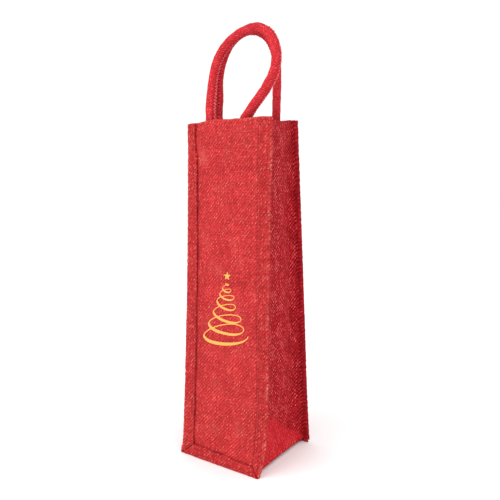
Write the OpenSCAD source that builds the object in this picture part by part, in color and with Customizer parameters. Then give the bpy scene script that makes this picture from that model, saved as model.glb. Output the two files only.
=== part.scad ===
// Jute gift bag for one wine bottle: two panels, one gusset strip, bound edges, two rope handles.
// Millimetres, +Z up, front towards -Y, origin at the middle of the base on the surface it stands on.

/* [Body] */
// Width of the square base, left to right
base_w = 100; // [92:1:112]
// Depth of the square base, front to back
base_d = 100; // [92:1:112]
// Height from the base to the rim of the mouth
bag_h = 350; // [330:5:370]
// Thickness of the backed jute cloth
cloth_t = 1.6; // [1.2:0.1:1.8]
// How far the empty bag relaxes from a square tube, where 0 is square
slack = 1; // [0.8:0.05:1.1]
// Outward swell at the middle of the front and back panels
panel_swell = 2; // [0:0.5:4]
// Inward sag at the middle of the gusset's sides
gusset_sag = 5; // [0:0.5:7]

/* [Bound edges] */
// Width of the binding strip on the outer face
strip_w = 11.5; // [9:0.5:14]
// Width of the binding's turned leg on the inner face
strip_leg_w = 4.5; // [3.5:0.5:5]
// Thickness of the binding cloth
strip_t = 1.2; // [0.8:0.1:1.2]

/* [Mouth hem] */
// Depth of the hem turned into the mouth
hem_h = 24; // [18:1:26]

/* [Handles] */
// Diameter of a handle with its cotton cover
handle_d = 9; // [8:0.5:9.5]
// Thickness of the cotton cover over the rope core
cover_t = 0.9; // [0.8:0.1:1.2]
// Length of each handle end sewn inside the mouth
tab_h = 24; // [18:1:26]

/* [Print] */
// Width of the printed ribbon at its widest
ribbon_w = 3.4; // [1.8:0.2:3.6]
// Size of the printed tree, where 1 is 57 mm wide
tree_size = 1; // [0.8:0.05:1.1]

/* [Hidden] */

// Clearance kept between cloth layers that lie on each other
gap = 0.15;
// The four side faces, counted from the front round to the left
FRONT = 0;
RIGHT = 1;
BACK = 2;
LEFT = 3;

// Corners of the base: front left, front right, back right, back left
base_corner = [[-base_w / 2, -base_d / 2], [base_w / 2, -base_d / 2],
               [base_w / 2, base_d / 2], [-base_w / 2, base_d / 2]];
// Where each corner has drifted to at the mouth, how far it tucks in just above the base,
// and how far its edge bows half way up
mouth_drift = [[7.5, 15], [6, 18.5], [-9.5, -9], [-6, -24.5]];
base_tuck = [[0, 0], [0.8, 7.2], [-0.7, -0.6], [-0.8, -6]];
edge_bow = [[1, 1.6], [0.5, 0], [0, 0], [0, -1]];
tuck_z = 60;

// Depth of the binding from its outer face to its inner face
strip_depth = 2 * strip_t + cloth_t + 2 * gap;
// Outer face of a panel, counted inwards from the corner line
panel_in = strip_t + gap;
// Outer face of the gusset's sides, counted inwards from the corner line
gusset_in = strip_leg_w + 0.5;
// Distance from the front and back corner lines to the gusset's edges
gusset_edge = strip_depth + 0.6;
// Radius where the gusset turns from a side into the base
gusset_r = 5;
// Thickness of the hems, and their inner faces
hem_t = 1.2;
hem_in = panel_in + cloth_t + gap + hem_t;
// Height of the line that a handle swings about, so that it clears the rim
pivot_z = bag_h + handle_d / 2 + 1;
// Length that the sewn ends and the swinging loops are kept apart
pivot_gap = 0.4;

// Middle lines of the handles: x, y and height above the pivot line
front_route = [[-20.5, -26.2, 0], [-22.5, -24, 9], [-24, -20, 22], [-24.5, -15, 41], [-22.5, -10.5, 57],
               [-15.5, -7, 70], [-5, -4, 79], [7, -2.3, 84], [19, -1.6, 85.5], [29, -2.2, 82],
               [37, -3.8, 75], [43.5, -6.3, 65], [47.2, -9.2, 54.5], [48, -11.5, 46], [47, -13.8, 38],
               [44, -16, 30.5], [38.5, -19, 20.5], [31, -22.5, 10], [24.2, -25, 0]];
back_route = [[-43, 19.4, 0], [-42.6, 17.4, 11], [-40.8, 15.4, 24], [-38.8, 13, 40], [-35, 11.3, 53],
              [-29.5, 10.1, 64], [-21.5, 9.4, 74.8], [-11.5, 9.3, 82.4], [-0.5, 9.9, 86], [10.5, 11.3, 85.5],
              [19, 13, 81.6], [25, 14.8, 75], [29, 16.9, 65], [30, 19, 53.5], [28.5, 22, 36.5],
              [25.5, 25.6, 19], [22, 30, 0]];
tube_sides = 10;
core_sides = 8;
seam_sides = 6;
steps_per_span = 3;
// Angles below the pivot line at which a loop's ball end is sampled
ball_turns = [30, 15];
// Inner radius of the cotton cover, and radius of the rope core inside its facets
inner_r = handle_d / 2 - cover_t;
core_r = inner_r * cos(180 / tube_sides) - 0.05;
seam_r = 0.4;
// Where the sewn handle ends sit along the front and back panels, from each face's first corner
front_tabs_a = [22, 63.8];
back_tabs_a = [20, 83.9];
tab_half_w = 5.2;
tab_half_t = 2.3;
// Radius of a sewn end at the rim, and its distance from the hem
tab_r = handle_d / 2 - 0.1;
tab_gap = 0.3;
// Heights below the rim of the tack stitches over the sewn ends
tack_drop = [7, 18];
thread_w = 0.8;
// Depths of a row of thread above the cloth it is sewn to
thread_low = 0.2;
thread_high = 0.7;
// Line of the topstitching, counted from the edge of the binding
stitch_in = strip_w - 2;
hem_stitch_z = bag_h - 14;

// Passes of the printed ribbon across the panel's face, from the lowest up: middle of the pass
// along the panel, half its width, height of its ends, how far it sags, and how much its right end rises
tree_passes = [[51, 28.2, 137.5, 8.7, 3.4], [51.3, 22.6, 147.2, 7.7, -0.5], [52.3, 18, 158.7, 6.5, -1.8],
               [51, 12.2, 170.3, 5.6, -2.1], [51.9, 9.6, 178.8, 4.2, -0.9], [51.7, 5.9, 185.4, 3.1, -0.7],
               [52.3, 2.8, 191, 1.5, -0.4]];
// Rise of the strokes behind over the sag of those in front
back_share = 0.85;
// Width of the ribbon's thin strokes over its wide ones, and of its top pass over its bottom one
thin_share = 0.3;
top_share = 0.35;
tree_a = 51;
tree_z = 135;
ribbon_steps = 12;
star_r = 4.4;
star_inner_r = 1.85;
star_a = 52;
star_z = 198.5;
print_t = 0.25;
print_gap = 0.15;

// ---- Shape of the relaxed bag ----

function dip(z) = (z / tuck_z) * exp(1 - z / tuck_z);

function corner(i, z) =
    let (s = z / bag_h)
    base_corner[i] + slack * (s * mouth_drift[i] + dip(z) * base_tuck[i] + 4 * s * (1 - s) * edge_bow[i]);

function face_len(k, z) = norm(corner((k + 1) % 4, z) - corner(k, z));

// Swell of a face half way across at height z, positive outwards, held back by the hem near the mouth
function swell(k, z) =
    let (rise = 1 - exp(-z / 40), held = 1 - 0.75 * pow(z / bag_h, 6))
    (k % 2 == 0 ? panel_swell : -gusset_sag * held) * rise;

// Point on face k: a along it from its first corner, b outwards, z up
function on_face(k, a, b, z) =
    let (p = corner(k, z),
         l = face_len(k, z),
         e = (corner((k + 1) % 4, z) - p) / l,
         out = b + swell(k, z) * sin(180 * a / l),
         q = p + e * a + [e.y, -e.x] * out)
    [q.x, q.y, z];

// Heights at which the cloth is sampled, closer together above the base
function cloth_heights(low, high, n = 14) =
    [for (i = [0 : n]) low + (high - low) * pow(i / n, 1.4)];

// Heights that panels, gusset, bindings and upright threads share, so that their layers stay apart
wall_heights = cloth_heights(strip_w + 4, bag_h, 13);

// ---- Solids from rings of points ----

function ring_faces(rings, n) =
    [for (i = [0 : rings - 2], j = [0 : n - 1])
        let (p = i * n + j, q = i * n + (j + 1) % n)
        each [[p, q, q + n], [p, q + n, p + n]]];

function flipped(faces) = [for (f = faces) [f[2], f[1], f[0]]];

// Cap of a strip whose ring goes out along one side and back along the other
function strip_cap(n) =
    [for (j = [0 : n / 2 - 2]) each [[j, n - 1 - j, n - 2 - j], [j, n - 2 - j, j + 1]]];

// Cap of a round tube's ring
function fan_cap(n) = [for (j = [1 : n - 2]) [0, j + 1, j]];

function shifted(faces, by) = [for (f = faces) [f[0] + by, f[1] + by, f[2] + by]];

// Six times the volume that the faces enclose, below zero when they turn the right way
function winding(points, faces) =
    [for (f = faces) points[f[0]] * cross(points[f[1]], points[f[2]])] * [for (f = faces) 1];

// Closed solid whose faces are turned outwards whichever way its rings run
module closed(points, faces) {
    polyhedron(points = points, faces = winding(points, faces) < 0 ? faces : flipped(faces));
}

// Skin over rings of equal length, closed by the given cap at both ends
module skin(rings, cap) {
    n = len(rings[0]);
    last = (len(rings) - 1) * n;
    closed([for (r = rings) each r],
           concat(ring_faces(len(rings), n), cap, shifted(flipped(cap), last)));
}

// Skin over hollow rings: an outer wall, an inner wall and a flat rim at each end
module hollow_skin(outer, inner) {
    n = len(outer[0]);
    count = len(outer);
    start = count * n;
    last = (count - 1) * n;
    rims = [for (j = [0 : n - 1])
               let (p = j, q = (j + 1) % n)
               each [[q, p, start + p], [q, start + p, start + q],
                     [last + p, last + q, start + last + q], [last + p, start + last + q, start + last + p]]];
    closed([for (r = concat(outer, inner)) each r],
           concat(ring_faces(count, n), shifted(flipped(ring_faces(count, n)), start), rims));
}

// Strip of cloth on face k between two distances from its corners and two depths
function strip_ring(k, z, from, to, outer, inner, n = 6) =
    let (l = face_len(k, z), span = l - from - to)
    concat([for (j = [0 : n]) on_face(k, from + span * j / n, -outer, z)],
           [for (j = [n : -1 : 0]) on_face(k, from + span * j / n, -inner, z)]);

module cloth_strip(k, heights, from, to, outer, inner) {
    skin([for (z = heights) strip_ring(k, z, from, to, outer, inner)], strip_cap(14));
}

// ---- Panels and gusset ----

module panel(k) {
    heights = concat([panel_in, strip_w / 2], wall_heights);
    cloth_strip(k, heights, panel_in, panel_in, panel_in, panel_in + cloth_t);
}

module front_panel() {
    color("firebrick") panel(FRONT);
}

module back_panel() {
    color("firebrick") panel(BACK);
}

// One ring of the gusset where it hangs as a side, front edge first
function gusset_side_ring(k, outer, inner, z_outer, z_inner, n = 6) =
    [for (side = [0, 1], j = [0 : n])
        let (deep = side == 0 ? outer : inner,
             z = side == 0 ? z_outer : z_inner,
             step = side == 0 ? j : n - j,
             l = face_len(k, z),
             across = gusset_edge + (l - 2 * gusset_edge) * step / n,
             a = k == RIGHT ? across : l - across)
        on_face(k, a, -deep, z)];

// The turn from side to base, from 0 at the side to 90 at the base
function gusset_turn_ring(k, turn) =
    let (inner_r = gusset_r - cloth_t, middle = gusset_in + gusset_r)
    gusset_side_ring(k, middle - gusset_r * cos(turn), middle - inner_r * cos(turn),
                     gusset_r * (1 - sin(turn)), gusset_r - inner_r * sin(turn));

function gusset_half(k) =
    concat([for (turn = [90, 60, 30]) gusset_turn_ring(k, turn)],
           [for (z = concat([gusset_r], wall_heights))
               gusset_side_ring(k, gusset_in, gusset_in + cloth_t, z, z)]);

function reversed(list) = [for (i = [len(list) - 1 : -1 : 0]) list[i]];

module gusset() {
    color("crimson")
        skin(concat(reversed(gusset_half(LEFT)), gusset_half(RIGHT)), strip_cap(14));
}

// ---- Hems turned into the mouth ----

hem_heights = [for (i = [0 : 4]) bag_h - hem_h + (hem_h - 0.2) * i / 4];

module panel_hem(k) {
    side = gusset_in + cloth_t + hem_t + 1;
    cloth_strip(k, hem_heights, side, side, hem_in - hem_t, hem_in);
}

module front_panel_hem() {
    color("indianred") panel_hem(FRONT);
}

module back_panel_hem() {
    color("indianred") panel_hem(BACK);
}

module gusset_hems() {
    outer = gusset_in + cloth_t + gap;
    color("indianred")
        for (k = [RIGHT, LEFT])
            cloth_strip(k, hem_heights, gusset_edge + 1, gusset_edge + 1, outer, outer + hem_t);
}

// ---- Bindings folded over the edges of the panels ----

// Section of the binding: distance from the edge, depth from the outer face
strip_section = [[0, 0], [strip_w, 0], [strip_w, strip_t], [strip_t, strip_t],
                 [strip_t, strip_depth - strip_t], [strip_leg_w, strip_depth - strip_t],
                 [strip_leg_w, strip_depth], [0, strip_depth]];
strip_section_cap = [[2, 1, 0], [3, 2, 0], [4, 3, 0], [7, 4, 0], [5, 4, 7], [6, 5, 7]];

// Upright binding at the first corner of face k, or at its second corner when far is true
module binding_side(k, far) {
    rings = [for (z = concat([0], wall_heights))
                [for (p = strip_section)
                    let (h = max(z, p[0] + gap))
                    on_face(k, far ? face_len(k, h) - p[0] : p[0], -p[1], h)]];
    skin(rings, strip_section_cap);
}

module binding_base(k) {
    n = 6;
    rings = [for (i = [0 : n])
                [for (p = strip_section)
                    let (h = p[0], first = h + gap, last = face_len(k, h) - h - gap)
                    on_face(k, first + (last - first) * i / n, -p[1], h)]];
    skin(rings, strip_section_cap);
}

module front_binding_left() {
    color("brown") binding_side(FRONT, false);
}

module front_binding_base() {
    color("brown") binding_base(FRONT);
}

module front_binding_right() {
    color("brown") binding_side(FRONT, true);
}

module back_binding_left() {
    color("brown") binding_side(BACK, true);
}

module back_binding_base() {
    color("brown") binding_base(BACK);
}

module back_binding_right() {
    color("brown") binding_side(BACK, false);
}

// ---- Topstitching ----

thread_section = [[-1, thread_low], [1, thread_low], [1, thread_high], [-1, thread_high]];

// Row of thread up face k at distance a from its first corner, or from its second corner when far is true
module thread_up(k, a, far) {
    skin([for (z = concat([stitch_in + 1], wall_heights))
             [for (c = thread_section)
                 let (across = a + c.x * thread_w / 2, top = min(z, bag_h - 1))
                 on_face(k, far ? face_len(k, top) - across : across, c.y, top)]],
         fan_cap(4));
}

// Row of thread along face k at height z
module thread_across(k, z, from, to, depth, n = 6) {
    l = face_len(k, z);
    skin([for (i = [0 : n])
             [for (c = thread_section)
                 on_face(k, from + (l - from - to) * i / n, c.y - depth, z + c.x * thread_w / 2)]],
         fan_cap(4));
}

module binding_stitches(k) {
    thread_up(k, stitch_in, false);
    thread_up(k, stitch_in, true);
    thread_across(k, stitch_in, stitch_in + 1, stitch_in + 1, 0);
}

module front_binding_stitches() {
    color("salmon") binding_stitches(FRONT);
}

module back_binding_stitches() {
    color("salmon") binding_stitches(BACK);
}

module hem_stitches() {
    color("salmon") {
        for (k = [FRONT, BACK])
            thread_across(k, hem_stitch_z, strip_w + 1, strip_w + 1, panel_in);
        for (k = [RIGHT, LEFT])
            thread_across(k, hem_stitch_z, gusset_edge + 1, gusset_edge + 1, gusset_in);
    }
}

// ---- Handle ends sewn inside the mouth ----

// Share of the way from a sewn end's flat foot to its round top at the rim
function tab_part(z) = min(1, pow((z - bag_h + tab_h) / tab_h, 2));

function tab_t(z) = tab_half_t + (tab_r - tab_half_t) * tab_part(z);

function tab_w(z) = tab_half_w + (tab_r - tab_half_w) * tab_part(z);

module handle_tab(k, a) {
    top = bag_h + 1 - pivot_gap;
    skin([for (i = [0 : 6])
             let (z = bag_h - tab_h + (tab_h + top - bag_h) * i / 6,
                  middle = hem_in + tab_gap + tab_t(z))
             [for (j = [0 : tube_sides - 1])
                 let (turn = 360 * j / tube_sides)
                 on_face(k, a + tab_w(z) * cos(turn), tab_t(z) * sin(turn) - middle, z)]],
         fan_cap(tube_sides));
}

// Tack stitches that cross a sewn end on its inner side
module handle_tacks(k, a) {
    reach = tab_half_w - 1.5;
    for (drop = tack_drop) {
        z = bag_h - drop;
        depth = hem_in + tab_gap + 2 * tab_t(z);
        skin([for (step = [-1, 0, 1])
                 [for (c = thread_section)
                     on_face(k, a + reach * step, -depth - c.y, z + c.x * thread_w / 2)]],
             fan_cap(4));
    }
}

module front_handle_tabs() {
    color("orangered")
        for (a = front_tabs_a)
            handle_tab(FRONT, a);
}

module back_handle_tabs() {
    color("orangered")
        for (a = back_tabs_a)
            handle_tab(BACK, a);
}

module front_handle_tacks() {
    color("salmon")
        for (a = front_tabs_a)
            handle_tacks(FRONT, a);
}

module back_handle_tacks() {
    color("salmon")
        for (a = back_tabs_a)
            handle_tacks(BACK, a);
}

// ---- Handle loops ----

// Smooth curve through the route's points
function between(p, q, r, s, t) =
    0.5 * (2 * q + (r - p) * t + (2 * p - 5 * q + 4 * r - s) * t * t + (3 * q - p - 3 * r + s) * t * t * t);

function smooth_route(route) =
    let (last = len(route) - 1)
    concat([for (i = [0 : last - 1], j = [0 : steps_per_span - 1])
               let (before = route[max(0, i - 1)], after = route[min(last, i + 2)])
               between(before, route[i], route[i + 1], after, j / steps_per_span)],
           [route[last]]);

function loop_line(route) = [for (p = smooth_route(route)) [p.x, p.y, p.z + pivot_z]];

function unit(v) = v / norm(v);

function heading(line, i) =
    let (last = len(line) - 1)
    unit(line[min(last, i + 1)] - line[max(0, i - 1)]);

// Directions across the cord: in the plane of the loop towards its inside, then out of that plane
function inward(line, i) = unit(cross([0, 1, 0], heading(line, i)));

function sideways(line, i) = cross(heading(line, i), inward(line, i));

function cord_ring(line, i, r, sides, along = 0) =
    let (p = line[i] + heading(line, i) * along)
    [for (j = [0 : sides - 1])
        let (turn = 360 * j / sides)
        p + r * (cos(turn) * inward(line, i) + sin(turn) * sideways(line, i))];

// Rings of a tube along the line, whose ends go on below the pivot line, round like a ball or straight
function cover_rings(line, r, ball) =
    let (last = len(line) - 1)
    concat([for (t = ball_turns) cord_ring(line, 0, ball ? r * cos(t) : r, tube_sides, -handle_d / 2 * sin(t))],
           [for (i = [0 : last]) cord_ring(line, i, r, tube_sides)],
           [for (t = reversed(ball_turns))
               cord_ring(line, last, ball ? r * cos(t) : r, tube_sides, handle_d / 2 * sin(t))]);

module handle_cover(route) {
    line = loop_line(route);
    hollow_skin(cover_rings(line, handle_d / 2, true), cover_rings(line, inner_r, false));
}

module handle_core(route) {
    line = loop_line(route);
    skin([for (i = [0 : len(line) - 1]) cord_ring(line, i, core_r, core_sides)], fan_cap(core_sides));
}

// Sewn seam of the cover along the inside of the loop
module handle_seam(route) {
    line = loop_line(route);
    reach = handle_d / 2 + seam_r + gap;
    skin([for (i = [2 : len(line) - 3])
             [for (j = [0 : seam_sides - 1])
                 let (turn = 360 * j / seam_sides)
                 line[i] + (reach + seam_r * cos(turn)) * inward(line, i)
                     + seam_r * sin(turn) * sideways(line, i)]],
         fan_cap(seam_sides));
}

module front_handle_cover() {
    color("orangered") handle_cover(front_route);
}

module front_handle_core() {
    color("tan") handle_core(front_route);
}

module front_handle_seam() {
    color("salmon") handle_seam(front_route);
}

module back_handle_cover() {
    color("orangered") handle_cover(back_route);
}

module back_handle_core() {
    color("tan") handle_core(back_route);
}

module back_handle_seam() {
    color("salmon") handle_seam(back_route);
}

// ---- Print: a ribbon wound into a cone, with a star over it ----

// Measure i of the pass that the ribbon makes at turn t: whole turns are the middles of the passes,
// and it goes over to the next pass behind
function pass_value(t, i) =
    let (n = floor(t + 0.25), f = max(0, 2 * (t - n) - 0.5), part = n + f * f * (3 - 2 * f))
    lookup(part, [for (j = [0 : len(tree_passes) - 1]) [j, tree_passes[j][i]]]);

function scaled(a, z) = [tree_a + tree_size * (a - tree_a), tree_z + tree_size * (z - tree_z)];

// Point of the ribbon's middle line at turn t: along the panel, and height
function tree_point(t) =
    let (drop = cos(360 * t) * (cos(360 * t) < 0 ? back_share : 1))
    scaled(pass_value(t, 0) - pass_value(t, 1) * sin(360 * t),
           pass_value(t, 2) - pass_value(t, 3) * drop - pass_value(t, 4) * sin(360 * t));

function tree_normal(t) =
    let (d = unit(tree_point(t + 0.01) - tree_point(t - 0.01)))
    [-d.y, d.x];

// Half width of the ribbon: wide where it passes in front, thin at the sides and behind
function stroke(t, wide, part) =
    let (size = 1 - (1 - top_share) * max(0, t) / (len(tree_passes) - 1), thin = ribbon_w * thin_share)
    size * (thin + (wide ? (ribbon_w - thin) * sin(180 * part) : 0)) / 2;

// Half a turn of ribbon that starts at turn t, laid at the given depth under the corner line
module half_turn(t, wide, depth) {
    skin([for (i = [0 : ribbon_steps])
             let (u = t + 0.5 * i / ribbon_steps, p = tree_point(u),
                  s = tree_normal(u) * stroke(u, wide, i / ribbon_steps))
             [for (c = [[-1, 0], [1, 0], [1, print_t], [-1, print_t]])
                 on_face(FRONT, p.x + s.x * c.x, c.y - depth, p.y + s.y * c.x)]],
         fan_cap(4));
}

module print_ribbon() {
    behind = panel_in - print_gap;
    last = len(tree_passes) - 1;
    color("gold")
        for (i = [0 : last]) {
            half_turn(i - 0.25, true, behind - print_t - 0.05);
            if (i < last) half_turn(i + 0.25, false, behind);
        }
}

module print_star() {
    middle = scaled(star_a, star_z);
    cap = concat([for (i = [0 : 2 : 8]) [(i + 1) % 10, i, (i + 9) % 10]], [[1, 5, 3], [1, 7, 5], [1, 9, 7]]);
    color("gold")
        skin([for (depth = [panel_in - print_gap, panel_in - print_gap - print_t])
                 [for (i = [0 : 9])
                     let (r = tree_size * (i % 2 == 0 ? star_r : star_inner_r))
                     on_face(FRONT, middle.x + r * sin(36 * i), -depth, middle.y + r * cos(36 * i))]],
             cap);
}

front_panel();
back_panel();
gusset();
front_panel_hem();
back_panel_hem();
gusset_hems();
front_binding_left();
front_binding_base();
front_binding_right();
back_binding_left();
back_binding_base();
back_binding_right();
front_binding_stitches();
back_binding_stitches();
hem_stitches();
front_handle_tabs();
back_handle_tabs();
front_handle_tacks();
back_handle_tacks();
front_handle_cover();
front_handle_core();
front_handle_seam();
back_handle_cover();
back_handle_core();
back_handle_seam();
print_ribbon();
print_star();
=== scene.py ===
"""Jute gift bag for one wine bottle: cloth, bindings, stitches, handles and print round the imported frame.

Shapes are worked out in millimetres and made in metres, +Z up, front towards -Y, as in the CAD model.
"""

import math

import bmesh
import bpy
import numpy as np
from mathutils import Matrix, Vector


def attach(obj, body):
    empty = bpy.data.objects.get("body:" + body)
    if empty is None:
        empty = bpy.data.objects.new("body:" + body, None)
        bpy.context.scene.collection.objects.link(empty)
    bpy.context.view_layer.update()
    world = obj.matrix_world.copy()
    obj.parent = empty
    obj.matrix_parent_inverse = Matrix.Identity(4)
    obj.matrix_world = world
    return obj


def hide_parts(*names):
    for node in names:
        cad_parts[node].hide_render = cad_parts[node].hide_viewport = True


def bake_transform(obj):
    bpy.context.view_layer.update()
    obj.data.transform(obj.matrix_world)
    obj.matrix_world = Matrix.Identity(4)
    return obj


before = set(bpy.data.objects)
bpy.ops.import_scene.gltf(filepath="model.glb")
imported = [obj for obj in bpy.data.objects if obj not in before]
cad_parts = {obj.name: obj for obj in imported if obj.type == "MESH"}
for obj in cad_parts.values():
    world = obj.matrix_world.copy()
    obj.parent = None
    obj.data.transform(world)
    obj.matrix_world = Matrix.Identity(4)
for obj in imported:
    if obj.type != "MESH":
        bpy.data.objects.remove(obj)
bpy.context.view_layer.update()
MM = 0.001

# ---- Camera ----

cam_data = bpy.data.cameras.new("camera")
cam_data.sensor_width = 36
cam_data.lens = 41.64
CAMERA_AT = Vector((353.48, -487.42, 303.8)) * MM
camera = bpy.data.objects.new("camera", cam_data)
bpy.context.scene.collection.objects.link(camera)
turn, pitch, roll = math.radians(35.36), math.radians(7.98), math.radians(-0.8)
ahead = Vector((-math.sin(turn) * math.cos(pitch), math.cos(turn) * math.cos(pitch), -math.sin(pitch)))
level = Vector((math.cos(turn), math.sin(turn), 0))
above = level.cross(ahead)
right = level * math.cos(roll) + above * math.sin(roll)
up = above * math.cos(roll) - level * math.sin(roll)
axes = Matrix((right, up, -ahead)).transposed()
camera.matrix_world = Matrix.Translation(CAMERA_AT) @ axes.to_4x4()
bpy.context.scene.camera = camera

# ---- Shape of the relaxed bag ----

FRONT, RIGHT, BACK, LEFT = range(4)
HEIGHT, HEM, TUCK_Z, PIVOT_Z = 350.0, 24.0, 60.0, 355.5
BASE = np.array([[-50, -50], [50, -50], [50, 50], [-50, 50]], float)
DRIFT = np.array([[7.5, 15], [6, 18.5], [-9.5, -9], [-6, -24.5]])
TUCK = np.array([[0, 0], [0.8, 7.2], [-0.7, -0.6], [-0.8, -6]])
BOW = np.array([[1, 1.6], [0.5, 0], [0, 0], [0, -1]])
# Outer face of the gusset, and the ends of its width, inwards from the corner lines
GUSSET_IN, GUSSET_END = 5.0, 3.4
# Half the cloth's thickness, the height at which it turns over the rim, its turn there, and the hem's edge and seam
HALF_CLOTH, RIM_Z, RIM_R, HEM_EDGE_Z, HEM_SEAM_Z = 0.7, 349.1, 0.8, 326.5, 336.0


def smooth(x):
    x = np.clip(x, 0, 1)
    return x * x * (3 - 2 * x)


def hump(x, middle, width):
    return np.exp(-(((x - middle) / width) ** 2))


def ripple(x, y, size, seed, waves=8):
    """Gentle unevenness of about 1 either way, the same each run."""
    random = np.random.default_rng(seed)
    total = 0
    for _ in range(waves):
        way, start = random.uniform(0, 2 * math.pi, 2)
        length = size * random.uniform(0.6, 1.7)
        total = total + np.sin(2 * math.pi * (x * math.cos(way) + y * math.sin(way)) / length + start)
    return total / math.sqrt(waves / 2)


def corner(i, z):
    z = np.asarray(z, float)[..., None]
    s = z / HEIGHT
    dip = z / TUCK_Z * np.exp(1 - z / TUCK_Z)
    return BASE[i] + s * DRIFT[i] + dip * TUCK[i] + 4 * s * (1 - s) * BOW[i]


def face_len(k, z):
    return np.linalg.norm(corner((k + 1) % 4, z) - corner(k, z), axis=-1)


def on_face(k, a, depth, z, far=False, swell=None):
    """Points on side k: a along it from its first corner, or back from its second when far; depth inwards."""
    a, depth, z = np.broadcast_arrays(*[np.asarray(x, float) for x in (a, depth, z)])
    length = face_len(k, z)
    a = length - a if far else a
    first = corner(k, z)
    along = (corner((k + 1) % 4, z) - first) / length[..., None]
    if swell is None:
        swell = 2.0 if k % 2 == 0 else 0.0
    if k == FRONT:
        # the foot of the front left edge has splayed
        a = a - 2.6 * np.exp(-((z / 11) ** 2) - (np.clip(a, 0, None) / 12) ** 2)
        a = a - 2.0 * np.exp(-((z / 10) ** 2) - (np.clip(length - a, 0, None) / 12) ** 2)
    out = swell * (1 - np.exp(-z / 40)) * np.sin(math.pi * np.clip(a / length, 0, 1)) - depth
    normal = np.stack([along[..., 1], -along[..., 0]], -1)
    flat = first + along * a[..., None] + normal * out[..., None]
    # the rim stands highest at its back right corner
    share = {RIGHT: a / length, BACK: 1 - a / length}.get(k, 0 * a)
    lift = 1.4 * smooth(a / 30) if k == FRONT else 3.0 * np.clip(share, 0, 1) ** 2
    z = z + lift * smooth((z - 290) / 60)
    return np.concatenate([flat, z[..., None]], -1)


def curve_through(points, steps):
    """Points of a smooth curve through the given ones."""
    p = np.asarray(points, float)
    q = np.vstack([2 * p[0] - p[1], p, 2 * p[-1] - p[-2]])
    t = (np.arange(steps) / steps)[:, None]
    parts = [0.5 * (2 * b + (c - a) * t + (2 * a - 5 * b + 4 * c - d) * t**2 + (3 * b - a - 3 * c + d) * t**3)
             for a, b, c, d in zip(q, q[1:], q[2:], q[3:])]
    return np.vstack(parts + [p[-1:]])


def evenly(points, step):
    gaps = np.linalg.norm(np.diff(points, axis=0), axis=1)
    along = np.concatenate([[0], np.cumsum(gaps)])
    at = np.linspace(0, along[-1], int(along[-1] / step) + 1)
    return np.stack([np.interp(at, along, points[:, i]) for i in range(3)], 1), at


# ---- Meshes ----


def make(name, points, faces, corners_uv, material, body, stands_for=(), painted_light_and_tone=None, sharp=60):
    mesh = bpy.data.meshes.new(name)
    mesh.from_pydata((np.asarray(points) * MM).tolist(), [], [list(map(int, f)) for f in faces])
    layer = mesh.uv_layers.new(name="cloth")
    layer.data.foreach_set("uv", (np.concatenate(corners_uv) * MM).astype(np.float32).ravel())
    # per-point painted shade, painted highlight and random tone, read by the cloth materials
    if painted_light_and_tone is not None:
        shades = np.asarray(painted_light_and_tone, np.float32).ravel()
        mesh.attributes.new("painted_light_and_tone", "FLOAT", "POINT").data.foreach_set("value", shades)
    mesh.validate()
    bm = bmesh.new()
    bm.from_mesh(mesh)
    bmesh.ops.recalc_face_normals(bm, faces=bm.faces)
    bm.to_mesh(mesh)
    bm.free()
    mesh.shade_smooth()
    mesh.set_sharp_from_angle(angle=math.radians(sharp))
    mesh.materials.append(material)
    obj = bpy.data.objects.new(name, mesh)
    bpy.context.scene.collection.objects.link(obj)
    if body:
        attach(obj, body)
    if stands_for:
        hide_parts(*stands_for)
    return obj


def cloth(name, outer, inner, uv, material, body, stands_for=(), painted_light_and_tone=None):
    """Closed sheet between two grids of points, with one grid of cloth coordinates for both sides."""
    rows, cols = outer.shape[:2]
    n = rows * cols
    r, c = np.meshgrid(np.arange(rows - 1), np.arange(cols - 1), indexing="ij")
    first = r * cols + c
    grid = np.stack([first, first + 1, first + cols + 1, first + cols], -1).reshape(-1, 4)
    side = np.arange(rows - 1) * cols
    end = np.arange(cols - 1)
    faces = [grid, grid[:, ::-1] + n]
    for edge in (np.stack([side, side + cols], 1), np.stack([side, side + cols], 1) + cols - 1,
                 np.stack([end, end + 1], 1), np.stack([end, end + 1], 1) + (rows - 1) * cols):
        faces.append(np.stack([edge[:, 0], edge[:, 1], edge[:, 1] + n, edge[:, 0] + n], 1))
    faces = np.concatenate(faces)
    flat = np.concatenate([uv.reshape(-1, 2), uv.reshape(-1, 2) + 0.7])
    points = np.concatenate([outer.reshape(-1, 3), inner.reshape(-1, 3)])
    if painted_light_and_tone is not None:
        painted_light_and_tone = np.concatenate([painted_light_and_tone.ravel(), np.full(n, 0.5)])
    return make(name, points, faces, [flat[f] for f in faces], material, body, stands_for, painted_light_and_tone)


def tube(name, rings, uv, material, body, stands_for=(), painted_light_and_tone=None):
    """Closed tube over rings of points; uv has one more column than the rings."""
    rows, cols = rings.shape[:2]
    faces, corners_uv = [], []
    for r in range(rows - 1):
        for c in range(cols):
            d = (c + 1) % cols
            faces.append((r * cols + c, r * cols + d, (r + 1) * cols + d, (r + 1) * cols + c))
            corners_uv.append(np.array([uv[r, c], uv[r, c + 1], uv[r + 1, c + 1], uv[r + 1, c]]))
    for r in (0, rows - 1):
        faces.append(tuple(r * cols + c for c in range(cols)))
        corners_uv.append(uv[r, :cols])
    return make(name, rings.reshape(-1, 3), faces, corners_uv, material, body, stands_for, painted_light_and_tone)


def normals_of(grid):
    """Unit normals of a grid of points."""
    n = np.cross(np.gradient(grid, axis=1), np.gradient(grid, axis=0))
    return n / np.maximum(np.linalg.norm(n, axis=-1, keepdims=True), 1e-9)


# ---- Materials ----


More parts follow.
